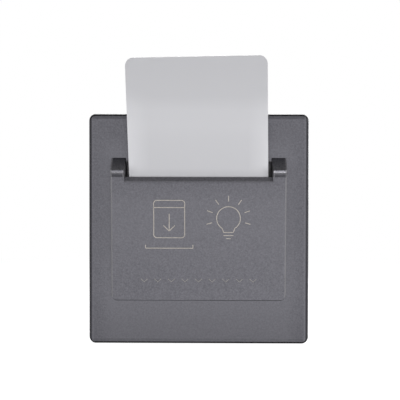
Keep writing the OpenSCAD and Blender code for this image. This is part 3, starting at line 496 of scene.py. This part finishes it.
# satin card: painted shade and light from just below the lip to the top edge, and painted highlights on
# the long edges; heights in mm
cardTones = {
    "heights": (15, 65),
    "greys": (
        (15, 214), (20.5, 203), (21.5, 205), (22.5, 209), (23.75, 214),
        (35, 217), (40, 220), (46, 219), (51, 211), (62.5, 208),
    ),
    "edge": (("side", 19, 28), ("Z", 54, 38), ("Z", 20.5, 25.0)),
    "edgeGreys": (231, 235),
    "edgeScale": 30,
    "rough": (0.3, 0.4),
    "hazeScale": 700,
    "skinScale": 1600,
    "skinStrength": 0.03,
    "skinDepth": 0.02,
}


def cardGrey(level):
    return srgb(level, level, level + 4)  # a touch of blue


def cardPlastic(spec):
    sockets = {"IOR": 1.46, "Coat Weight": 0.15, "Coat Roughness": 0.2}
    mat, tree, shader = newFinish("satinCardPlastic", sockets)
    # painted shade: the card is darker at the top and just above the lip, where the slot shades it, with
    # painted light across the middle
    low, high = spec["heights"]
    height = ranged(tree, along(tree, "Z"), 0.0, 1.0, low * mm, high * mm)
    wearAndPaintedShade = tones(tree, height, *(((z - low) / (high - low), cardGrey(grey)) for z, grey in spec["greys"]))
    # painted highlight: the long edges are paler
    edgeTones = (cardGrey(grey) for grey in spec["edgeGreys"])
    paintedEdgeLight = tones(tree, grain(tree, spec["edgeScale"], 2), *zip(plainReach, edgeTones))
    tone = blendTones(tree, bandMask(tree, spec["edge"], 1.0), wearAndPaintedShade, paintedEdgeLight)
    tree.links.new(tone, shader.inputs["Base Color"])
    haze = ranged(tree, grain(tree, spec["hazeScale"], 3), *spec["rough"])
    tree.links.new(haze, shader.inputs["Roughness"])
    relief(tree, shader, grain(tree, spec["skinScale"], 2), spec["skinStrength"], spec["skinDepth"])
    return mat


# lacquered board with copper runs under the lacquer, paler than the bare laminate
board = {
    "weave": (srgb(28, 88, 56), srgb(38, 104, 68)),
    "runs": {"Color1": srgb(30, 90, 58), "Color2": srgb(36, 98, 64), "Mortar": srgb(92, 142, 84)},
    "runScale": 180,
    "runWidth": 0.05,
    "runShare": 0.6,
    "runStrength": 0.3,
    "runDepth": 0.03,
    "weaveScale": 1500,
    "weaveStretch": (1, 1, 0.3),
    "rough": (0.3, 0.45),
}


def boardLaminate(spec):
    sockets = {"IOR": 1.52, "Coat Weight": 0.3, "Coat Roughness": 0.25}
    mat, tree, shader = newFinish("boardLaminate", sockets)
    weave = grain(tree, spec["weaveScale"], 2, spec["weaveStretch"])
    laminate = tones(tree, weave, *zip(plainReach, spec["weave"]))
    coords = tree.nodes.new("ShaderNodeTexCoord")
    turn = tree.nodes.new("ShaderNodeMapping")
    turn.inputs["Rotation"].default_value = (math.radians(90), 0, 0)
    tree.links.new(coords.outputs["Object"], turn.inputs["Vector"])
    runs = tree.nodes.new("ShaderNodeTexBrick")
    runs.inputs["Scale"].default_value = spec["runScale"]
    runs.inputs["Mortar Size"].default_value = spec["runWidth"]
    for socket, tone in spec["runs"].items():
        runs.inputs[socket].default_value = tone
    tree.links.new(turn.outputs["Vector"], runs.inputs["Vector"])
    tone = blendTones(tree, spec["runShare"], laminate, runs.outputs["Color"])
    tree.links.new(tone, shader.inputs["Base Color"])
    tree.links.new(ranged(tree, weave, *spec["rough"]), shader.inputs["Roughness"])
    relief(tree, shader, runs.outputs["Fac"], spec["runStrength"], spec["runDepth"])
    return mat


# sleeve of the round capacitor; bare metal shows on the can's flat top
can = {
    "sleeve": (srgb(26, 30, 40), srgb(36, 41, 52)),
    "metal": (srgb(168, 170, 174), srgb(198, 200, 204)),
    "top": ("Y", 24.9, 25.1),
    "filmScale": 200,
    "metalScale": 900,
    "rough": (0.25, 0.38),
}


def canSleeve(spec):
    mat, tree, shader = newFinish("capacitorSleeve", {"IOR": 1.5})
    film = grain(tree, spec["filmScale"], 3)
    sleeve = tones(tree, film, *zip(plainReach, spec["sleeve"]))
    metal = tones(tree, grain(tree, spec["metalScale"], 3), *zip(plainReach, spec["metal"]))
    tone = blendTones(tree, bandMask(tree, (spec["top"],), 1.0), sleeve, metal)
    tree.links.new(tone, shader.inputs["Base Color"])
    tree.links.new(ranged(tree, film, *spec["rough"]), shader.inputs["Roughness"])
    return mat


finishes = {
    "plate": metallicPaint("greyPlatePaint", plateBands),
    "holder": metallicPaint("greyHolderPaint", holderBands),
    "card": cardPlastic(cardTones),
    "board": boardLaminate(board),
    "can": canSleeve(can),
}
finishes.update({key: mouldedPlastic(*look) for key, look in plastics.items()})
finishes.update({key: bareMetal(*look) for key, look in metals.items()})
nodeFinish = {
    "front_plate": "plate",
    "card_holder": "holder",
    "card_guide": "guide",
    "guide_screws": "zinc",
    "key_card": "card",
    "mounting_frame": "zinc",
    "fixing_screws": "zinc",
    "mechanism_lid": "lid",
    "mechanism_housing": "housing",
    "mechanism_screws": "zinc",
    "circuit_board": "board",
    "board_screws": "zinc",
    "actuator_lever": "lever",
    "lever_pin": "pin",
    "return_spring": "pin",
    "micro_switch_case": "switch",
    "micro_switch_button": "button",
    "micro_switch_pins": "brass",
    "relay": "relay",
    "dropper_capacitor": "film",
    "smoothing_capacitor": "can",
    "surge_disc": "disc",
    "bridge_rectifier": "epoxy",
    "control_chip": "epoxy",
    "terminal_blocks": "brass",
    "terminal_screws": "zinc",
}
for name, finish in nodeFinish.items():
    mesh = nodes[name].data
    mesh.materials.clear()
    mesh.materials.append(finishes[finish])
print("finishes on", len(nodeFinish), "nodes")


# building blocks for the repeated pieces
def newTree(name, inputs):
    tree = bpy.data.node_groups.new(name, "GeometryNodeTree")
    tree.interface.new_socket("Geometry", in_out="INPUT", socket_type="NodeSocketGeometry")
    for label, (kind, value) in inputs.items():
        socket = tree.interface.new_socket(label, in_out="INPUT", socket_type="NodeSocket" + kind)
        if value is not None:
            socket.default_value = value
    tree.interface.new_socket("Geometry", in_out="OUTPUT", socket_type="NodeSocketGeometry")
    return tree, tree.nodes.new("NodeGroupInput"), tree.nodes.new("NodeGroupOutput")


def runTree(source, tree, values):
    mod = source.modifiers.new(tree.name, "NODES")
    mod.node_group = tree
    ids = {i.name: i.identifier for i in tree.interface.items_tree if i.in_out == "INPUT"}
    for label, value in values.items():
        mod[ids[label]] = value
    mesh = bpy.data.meshes.new_from_object(source.evaluated_get(bpy.context.evaluated_depsgraph_get()))
    source.modifiers.remove(mod)
    bpy.data.objects.remove(source)
    return mesh


def addPiece(name, mesh, body, *replaced):
    piece = bpy.data.objects.new(name, mesh)
    bpy.context.collection.objects.link(piece)
    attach(piece, body)
    if replaced:
        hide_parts(*replaced)


def coatAndSend(tree, geometry, finish, out):
    coat = tree.nodes.new("GeometryNodeSetMaterial")
    tree.links.new(geometry, coat.inputs["Geometry"])
    tree.links.new(finish, coat.inputs["Material"])
    tree.links.new(coat.outputs["Geometry"], out.inputs["Geometry"])


# screws: a helical thread and a domed cross head, set out on a grid of places;
# counts and shares of a screw's own sizes, and the crease in radians
screwForm = {
    "around": 20,
    "rowsPerTurn": 8,
    "tipStart": 0.96,
    "tipTaper": 10.0,
    "headAround": 36,
    "headRows": 12,
    "crownPower": 0.35,
    "domePower": 0.7,
    "crossLong": 1.1,
    "crossWide": 0.3,
    "crossDeep": 0.9,
    "endShare": 0.0005,
    "weld": 0.002 * mm,
    "crease": 0.6,
}


def roundGrid(tree, around, rows):
    # a flat sheet to be wrapped into a round, with its shares around and along
    grid = tree.nodes.new("GeometryNodeMeshGrid")
    names = ("Size X", "Size Y", "Vertices X", "Vertices Y")
    feed(tree, [grid.inputs[k] for k in names], (1, 1, around + 1, rows))
    place = splitXyz(tree, tree.nodes.new("GeometryNodeInputPosition").outputs[0])
    return grid, calc(tree, "ADD", place["X"], 0.5), calc(tree, "ADD", place["Y"], 0.5)


def wrapGrid(tree, grid, u, v, radius, height):
    # the first and last row close on the axis
    share = screwForm["endShare"]
    afterFirst = calc(tree, "GREATER_THAN", v, share)
    beforeLast = calc(tree, "LESS_THAN", v, 1 - share)
    reach = calc(tree, "MULTIPLY", radius, calc(tree, "MULTIPLY", afterFirst, beforeLast))
    angle = calc(tree, "MULTIPLY", u, math.tau)
    x = calc(tree, "MULTIPLY", reach, calc(tree, "COSINE", angle))
    y = calc(tree, "MULTIPLY", reach, calc(tree, "SINE", angle))
    move = tree.nodes.new("GeometryNodeSetPosition")
    tree.links.new(grid.outputs["Mesh"], move.inputs["Geometry"])
    tree.links.new(joinXyz(tree, x, y, height), move.inputs["Position"])
    weld = tree.nodes.new("GeometryNodeMergeByDistance")
    weld.inputs["Distance"].default_value = screwForm["weld"]
    tree.links.new(move.outputs["Geometry"], weld.inputs["Geometry"])
    return weld.outputs["Geometry"]


def screwRod(tree, get):
    grid, u, v = roundGrid(tree, screwForm["around"], get["Rows"])
    z = calc(tree, "MULTIPLY", v, get["Length"])
    phase = calc(tree, "FRACT", calc(tree, "SUBTRACT", calc(tree, "DIVIDE", z, get["Pitch"]), u))
    flank = calc(tree, "ABSOLUTE", calc(tree, "SUBTRACT", calc(tree, "MULTIPLY", phase, 2.0), 1.0))
    thread = calc(tree, "SUBTRACT", get["Radius"], calc(tree, "MULTIPLY", get["Depth"], flank))
    inNeck = calc(tree, "LESS_THAN", z, get["Neck"])
    step = calc(tree, "MULTIPLY", inNeck, calc(tree, "SUBTRACT", get["Neck Radius"], thread))
    shank = calc(tree, "ADD", thread, step)
    nearTip = calc(tree, "MAXIMUM", calc(tree, "SUBTRACT", v, screwForm["tipStart"]), 0.0)
    taper = calc(tree, "SUBTRACT", 1.0, calc(tree, "MULTIPLY", nearTip, screwForm["tipTaper"]))
    tapered = calc(tree, "MULTIPLY", shank, taper)
    return wrapGrid(tree, grid, u, v, tapered, calc(tree, "MULTIPLY", z, -1.0))


def screwHead(tree, get):
    rows = screwForm["headRows"]
    first = 1 / (rows - 1)  # share of the flat underside
    grid, u, v = roundGrid(tree, screwForm["headAround"], rows)
    rise = calc(tree, "MAXIMUM", calc(tree, "DIVIDE", calc(tree, "SUBTRACT", v, first), 1 - first), 0.0)
    arc = calc(tree, "MULTIPLY", rise, math.pi / 2 - 0.0001)  # just short of the pole
    crown = calc(tree, "POWER", calc(tree, "COSINE", arc), screwForm["crownPower"])
    dome = calc(tree, "POWER", calc(tree, "MAXIMUM", calc(tree, "SINE", arc), 0.0), screwForm["domePower"])
    radius = calc(tree, "MULTIPLY", get["Head Radius"], crown)
    head = wrapGrid(tree, grid, u, v, radius, calc(tree, "MULTIPLY", get["Head Height"], dome))
    cut = tree.nodes.new("GeometryNodeMeshBoolean")
    cut.operation = "DIFFERENCE"
    cut.solver = "EXACT"
    tree.links.new(head, cut.inputs["Mesh 1"])
    long = calc(tree, "MULTIPLY", get["Head Radius"], screwForm["crossLong"])
    thin = calc(tree, "MULTIPLY", get["Head Radius"], screwForm["crossWide"])
    deep = calc(tree, "MULTIPLY", get["Head Height"], screwForm["crossDeep"])
    for a, b in ((long, thin), (thin, long)):
        bar = tree.nodes.new("GeometryNodeMeshCube")
        tree.links.new(joinXyz(tree, a, b, deep), bar.inputs["Size"])
        lift = tree.nodes.new("GeometryNodeTransform")
        tree.links.new(bar.outputs["Mesh"], lift.inputs["Geometry"])
        tree.links.new(joinXyz(tree, 0.0, 0.0, get["Head Height"]), lift.inputs["Translation"])
        tree.links.new(lift.outputs["Geometry"], cut.inputs["Mesh 2"])
    return cut.outputs["Mesh"]


def screwSpots(tree, get):
    spots = tree.nodes.new("GeometryNodeMeshGrid")
    names = {"Size X": "Spread X", "Size Y": "Spread Z", "Vertices X": "Count X", "Vertices Y": "Count Z"}
    for socket, label in names.items():
        tree.links.new(get[label], spots.inputs[socket])
    place = splitXyz(tree, tree.nodes.new("GeometryNodeInputPosition").outputs[0])
    stand = tree.nodes.new("GeometryNodeSetPosition")
    tree.links.new(spots.outputs["Mesh"], stand.inputs["Geometry"])
    level = calc(tree, "ADD", place["Y"], get["Level"])
    tree.links.new(joinXyz(tree, place["X"], get["Seat"], level), stand.inputs["Position"])
    return stand.outputs["Geometry"]


def screwTree():
    tree, given, out = newTree("screwSet", {
        "Radius": ("Float", 1 * mm),
        "Length": ("Float", 10 * mm),
        "Neck": ("Float", 0.0),
        "Neck Radius": ("Float", 1 * mm),
        "Pitch": ("Float", 0.7 * mm),
        "Depth": ("Float", 0.2 * mm),
        "Rows": ("Int", 100),
        "Head Radius": ("Float", 2 * mm),
        "Head Height": ("Float", 1.2 * mm),
        "Spread X": ("Float", 0.0),
        "Spread Z": ("Float", 0.0),
        "Count X": ("Int", 2),
        "Count Z": ("Int", 2),
        "Seat": ("Float", 0.0),
        "Level": ("Float", 0.0),
        "Turn": ("Float", 0.0),
        "Finish": ("Material", None),
    })
    get = given.outputs
    whole = tree.nodes.new("GeometryNodeJoinGeometry")
    for part in (screwRod(tree, get), screwHead(tree, get)):
        tree.links.new(part, whole.inputs["Geometry"])
    each = tree.nodes.new("GeometryNodeInstanceOnPoints")
    tree.links.new(screwSpots(tree, get), each.inputs["Points"])
    tree.links.new(whole.outputs["Geometry"], each.inputs["Instance"])
    tree.links.new(joinXyz(tree, get["Turn"], 0.0, 0.0), each.inputs["Rotation"])
    real = tree.nodes.new("GeometryNodeRealizeInstances")
    tree.links.new(each.outputs["Instances"], real.inputs["Geometry"])
    smooth = tree.nodes.new("GeometryNodeSetShadeSmooth")
    tree.links.new(real.outputs["Geometry"], smooth.inputs["Geometry"])
    crease = tree.nodes.new("GeometryNodeSetShadeSmooth")
    crease.domain = "EDGE"
    crease.inputs["Shade Smooth"].default_value = False
    bend = tree.nodes.new("GeometryNodeInputMeshEdgeAngle").outputs["Unsigned Angle"]
    tree.links.new(smooth.outputs["Geometry"], crease.inputs["Geometry"])
    tree.links.new(calc(tree, "GREATER_THAN", bend, screwForm["crease"]), crease.inputs["Selection"])
    coatAndSend(tree, crease.outputs["Geometry"], get["Finish"], out)
    return tree


# sizes in mm; heads face the room where front is true
screwSets = {
    "fixing_screws": {
        "radius": 1.75, "length": 26.55, "neck": 1.55, "neckRadius": 1.5, "pitch": 0.6, "depth": 0.33,
        "head": (3.4, 1.9), "spread": (60.3, 0), "count": (2, 1), "seat": -1.55, "front": True,
    },
    "mechanism_screws": {
        "radius": 1.3, "length": 15.45, "pitch": 0.9, "depth": 0.25,
        "head": (2.4, 1.2), "spread": (41.2, 51.2), "count": (2, 2), "seat": -1.55, "front": True,
    },
    "guide_screws": {
        "radius": 1.0, "length": 3.9, "pitch": 0.7, "depth": 0.2,
        "head": (1.9, 1.2), "spread": (56, 68), "count": (2, 2), "seat": -4.85, "front": False,
    },
    "board_screws": {
        "radius": 1.0, "length": 6.0, "pitch": 0.7, "depth": 0.2, "level": 4.85,
        "head": (1.9, 1.2), "spread": (38, 29.3), "count": (2, 2), "seat": 12.75, "front": False,
    },
    "terminal_screws": {
        "radius": 1.6, "length": 4.9, "pitch": 0.7, "depth": 0.25, "level": -16.8,
        "head": (2.5, 2.0), "spread": (25, 0), "count": (3, 1), "seat": 24.3, "front": False,
    },
}


def makeScrews(sets):
    tree = screwTree()
    for node, spec in sets.items():
        source = bpy.data.objects.new("screwSource", bpy.data.meshes.new("screwSource"))
        bpy.context.collection.objects.link(source)
        mesh = runTree(source, tree, {
            "Radius": spec["radius"] * mm,
            "Length": spec["length"] * mm,
            "Neck": spec.get("neck", 0.0) * mm,
            "Neck Radius": spec.get("neckRadius", 1.0) * mm,
            "Pitch": spec["pitch"] * mm,
            "Depth": spec["depth"] * mm,
            "Rows": int(spec["length"] / spec["pitch"] * screwForm["rowsPerTurn"]),
            "Head Radius": spec["head"][0] * mm,
            "Head Height": spec["head"][1] * mm,
            "Spread X": spec["spread"][0] * mm,
            "Spread Z": spec["spread"][1] * mm,
            "Count X": spec["count"][0],
            "Count Z": spec["count"][1],
            "Seat": spec["seat"] * mm,
            "Level": spec.get("level", 0.0) * mm,
            "Turn": math.radians(90 if spec["front"] else -90),
            "Finish": finishes["zinc"],
        })
        addPiece(node.replace("_screws", "ScrewSet"), mesh, "base", node)
        print(node, len(mesh.polygons), "faces")


makeScrews(screwSets)

# printed marks on the sloping panel: a card over its slot, a lamp and chevrons; sizes in mm
panelMark = {
    "ink": srgb(206, 199, 190),
    "faintInk": srgb(164, 160, 156),
    "line": 0.32,
    "fineLine": 0.24,
    "rise": 0.05,
    "card": {"box": (-17.4, -5.4, -3.2, 11.4), "corner": 1.2, "cornerSteps": 6, "stripe": 8.6},
    "slot": {"left": -20.6, "right": -2.2, "base": -7.3, "lip": 1.3},
    "arrow": {"x": -11.4, "top": 6.2, "tip": -0.6, "head": 2.2},
    "bulb": {"x": 11.6, "z": 4.4, "radius": 4.6, "neck": 58, "steps": 28},
    "cap": {"top": -1.1, "pitch": 1.2, "halves": (1.9, 1.9, 0.9)},
    "rays": {"near": 6.6, "far": 8.8, "count": 7, "start": -15, "sweep": 210},
    "chevrons": {"count": 9, "pitch": 5.3, "z": -20.4, "half": 1.3, "rise": 1.0, "dip": 0.2},
}
panelPlane = {"lip": (-14.4378, 18.4), "angle": 4.6355}
inkWear = {"scale": 1200, "reach": (0.3, 0.6), "thin": 0.8, "rough": (0.45, 0.6)}


def lineTree():
    tree, given, out = newTree("printedLine", {
        "Width": ("Float", 0.3 * mm),
        "Rise": ("Float", 0.03 * mm),
        "Finish": ("Material", None),
    })
    get = given.outputs
    level = tree.nodes.new("GeometryNodeSetCurveNormal")
    level.mode = "Z_UP"
    tree.links.new(get["Geometry"], level.inputs["Curve"])
    section = tree.nodes.new("GeometryNodeCurvePrimitiveQuadrilateral")
    tree.links.new(get["Width"], section.inputs["Width"])
    tree.links.new(get["Rise"], section.inputs["Height"])
    sweep = tree.nodes.new("GeometryNodeCurveToMesh")
    sweep.inputs["Fill Caps"].default_value = True
    tree.links.new(level.outputs["Curve"], sweep.inputs["Curve"])
    tree.links.new(section.outputs["Curve"], sweep.inputs["Profile Curve"])
    real = tree.nodes.new("GeometryNodeRealizeInstances")
    tree.links.new(sweep.outputs["Mesh"], real.inputs["Geometry"])
    coatAndSend(tree, real.outputs["Geometry"], get["Finish"], out)
    return tree


def arcPoints(cx, cy, r, start, end, steps):
    turns = (math.radians(start + (end - start) * i / steps) for i in range(steps + 1))
    return [(cx + r * math.cos(a), cy + r * math.sin(a)) for a in turns]


def roundedBox(box, corner, steps):
    # corners in turn from the upper right, as one closed run of points
    left, right, low, top = box
    points = []
    for k, (sx, sz) in enumerate(((1, 1), (-1, 1), (-1, -1), (1, -1))):
        cx = right - corner if sx > 0 else left + corner
        cz = top - corner if sz > 0 else low + corner
        points += arcPoints(cx, cz, corner, k * 90, k * 90 + 90, steps)
    return points


# each stroke is a run of points, and whether it closes
def cardStrokes(card, slot, arrow):
    outline = roundedBox(card["box"], card["corner"], card["cornerSteps"])
    runs = [[(x, card["stripe"]) for x in card["box"][:2]]]
    base = slot["base"]
    runs.append([(slot["left"], base), (slot["right"], base)])
    runs += [[(x, base), (x, base + slot["lip"])] for x in (slot["left"], slot["right"])]
    x, tip, head = arrow["x"], arrow["tip"], arrow["head"]
    runs.append([(x, arrow["top"]), (x, tip)])
    runs += [[(x, tip), (x + side * head, tip + head)] for side in (-1, 1)]
    return [(outline, True)] + [(run, False) for run in runs]


def lampStrokes(bulb, cap, rays):
    x, z, r, neck = (bulb[k] for k in ("x", "z", "radius", "neck"))
    runs = [arcPoints(x, z, r, -neck, 180 + neck, bulb["steps"])]
    for side, hip in ((-1, runs[0][-1]), (1, runs[0][0])):
        runs.append([hip, (x + side * cap["halves"][0], cap["top"])])
    for k, half in enumerate(cap["halves"]):
        level = cap["top"] - k * cap["pitch"]
        runs.append([(x - half, level), (x + half, level)])
    for i in range(rays["count"]):
        a = math.radians(rays["start"] + rays["sweep"] * i / (rays["count"] - 1))
        runs.append([(x + d * math.cos(a), z + d * math.sin(a)) for d in (rays["near"], rays["far"])])
    return [(run, False) for run in runs]


def chevronStrokes(row):
    half, top, dip = row["half"], row["z"] + row["rise"], row["z"] - row["dip"]
    places = ((i - (row["count"] - 1) / 2) * row["pitch"] for i in range(row["count"]))
    return [([(x - half, top), (x, dip), (x + half, top)], False) for x in places]


def printStrokes(name, strokes, width, rise, ink, tree):
    curve = bpy.data.curves.new(name, "CURVE")
    curve.dimensions = "3D"
    for points, closed in strokes:
        spline = curve.splines.new("POLY")
        spline.points.add(len(points) - 1)
        spline.use_cyclic_u = closed
        for point, (x, z) in zip(spline.points, points):
            point.co = (x * mm, z * mm, 0, 1)
    source = bpy.data.objects.new(name + "Path", curve)
    bpy.context.collection.objects.link(source)
    mesh = runTree(source, tree, {"Width": width * mm, "Rise": rise * mm, "Finish": ink})
    # from the drawing's flat plane onto the panel's slope
    tilt = math.radians(panelPlane["angle"])
    cosTilt, sinTilt = math.cos(tilt), math.sin(tilt)
    y0 = panelPlane["lip"][0] + panelPlane["lip"][1] * math.tan(tilt)
    turn = Matrix(((1, 0, 0), (0, -sinTilt, -cosTilt), (0, cosTilt, -sinTilt))).to_4x4()
    mesh.transform(Matrix.Translation((0, y0 * mm, 0)) @ turn)
    print(name, len(mesh.polygons), "faces")
    addPiece(name, mesh, "base")


def printInk(name, tone):
    mat, tree, shader = newFinish(name, {"IOR": 1.45})
    wearAndPaintedShade = grain(tree, inkWear["scale"], 3)
    thin = tuple(c * inkWear["thin"] for c in tone[:3]) + (1.0,)
    tree.links.new(tones(tree, wearAndPaintedShade, *zip(inkWear["reach"], (thin, tone))), shader.inputs["Base Color"])
    tree.links.new(ranged(tree, wearAndPaintedShade, *inkWear["rough"]), shader.inputs["Roughness"])
    return mat


def printPanel(mark):
    lines = lineTree()
    ink = printInk("warmPrintInk", mark["ink"])
    faint = printInk("faintPrintInk", mark["faintInk"])
    drawing = cardStrokes(mark["card"], mark["slot"], mark["arrow"])
    drawing += lampStrokes(mark["bulb"], mark["cap"], mark["rays"])
    printStrokes("panelPictogram", drawing, mark["line"], mark["rise"], ink, lines)
    chevrons = chevronStrokes(mark["chevrons"])
    printStrokes("panelChevrons", chevrons, mark["fineLine"], mark["rise"], faint, lines)


printPanel(panelMark)

# card with eased edges, leaning in the slot; sizes in mm, angles in degrees
keyCard = {
    "size": (53.98, 85.6, 0.76),
    "corner": 3.18,
    "cornerSteps": 12,
    "ease": 0.07,
    "lip": (-12.3999, 20.4),
    "tilt": 12.0,
    "roll": 1.1,
    "inSlot": 39.0,
}


def makeCard(spec):
    width, length, thick = spec["size"]
    ease, half = spec["ease"], thick / 2
    layers = ((ease, -half), (0, ease - half), (0, half - ease), (ease, half))
    bm = bmesh.new()
    rings = []
    for inset, y in layers:
        x, z = width / 2 - inset, length / 2 - inset
        outline = roundedBox((-x, x, -z, z), spec["corner"] - inset, spec["cornerSteps"])
        rings.append([bm.verts.new((px * mm, y * mm, pz * mm)) for px, pz in outline])
    for a, b in zip(rings, rings[1:]):
        for i in range(len(a)):
            k = (i + 1) % len(a)
            bm.faces.new((a[i], a[k], b[k], b[i]))
    bm.faces.new(rings[0])
    bm.faces.new(rings[-1])
    bmesh.ops.recalc_face_normals(bm, faces=bm.faces)
    place = Matrix.Translation((0, spec["lip"][0] * mm, spec["lip"][1] * mm))
    place = place @ Matrix.Rotation(math.radians(spec["tilt"]), 4, "X")
    place = place @ Matrix.Rotation(math.radians(-spec["roll"]), 4, "Y")
    bm.transform(place @ Matrix.Translation((0, 0, (length / 2 - spec["inSlot"]) * mm)))
    mesh = bpy.data.meshes.new("plainKeyCard")
    bm.to_mesh(mesh)
    bm.free()
    mesh.materials.append(finishes["card"])
    addPiece("plainKeyCard", mesh, "card", "key_card")


makeCard(keyCard)
print("pieces made")
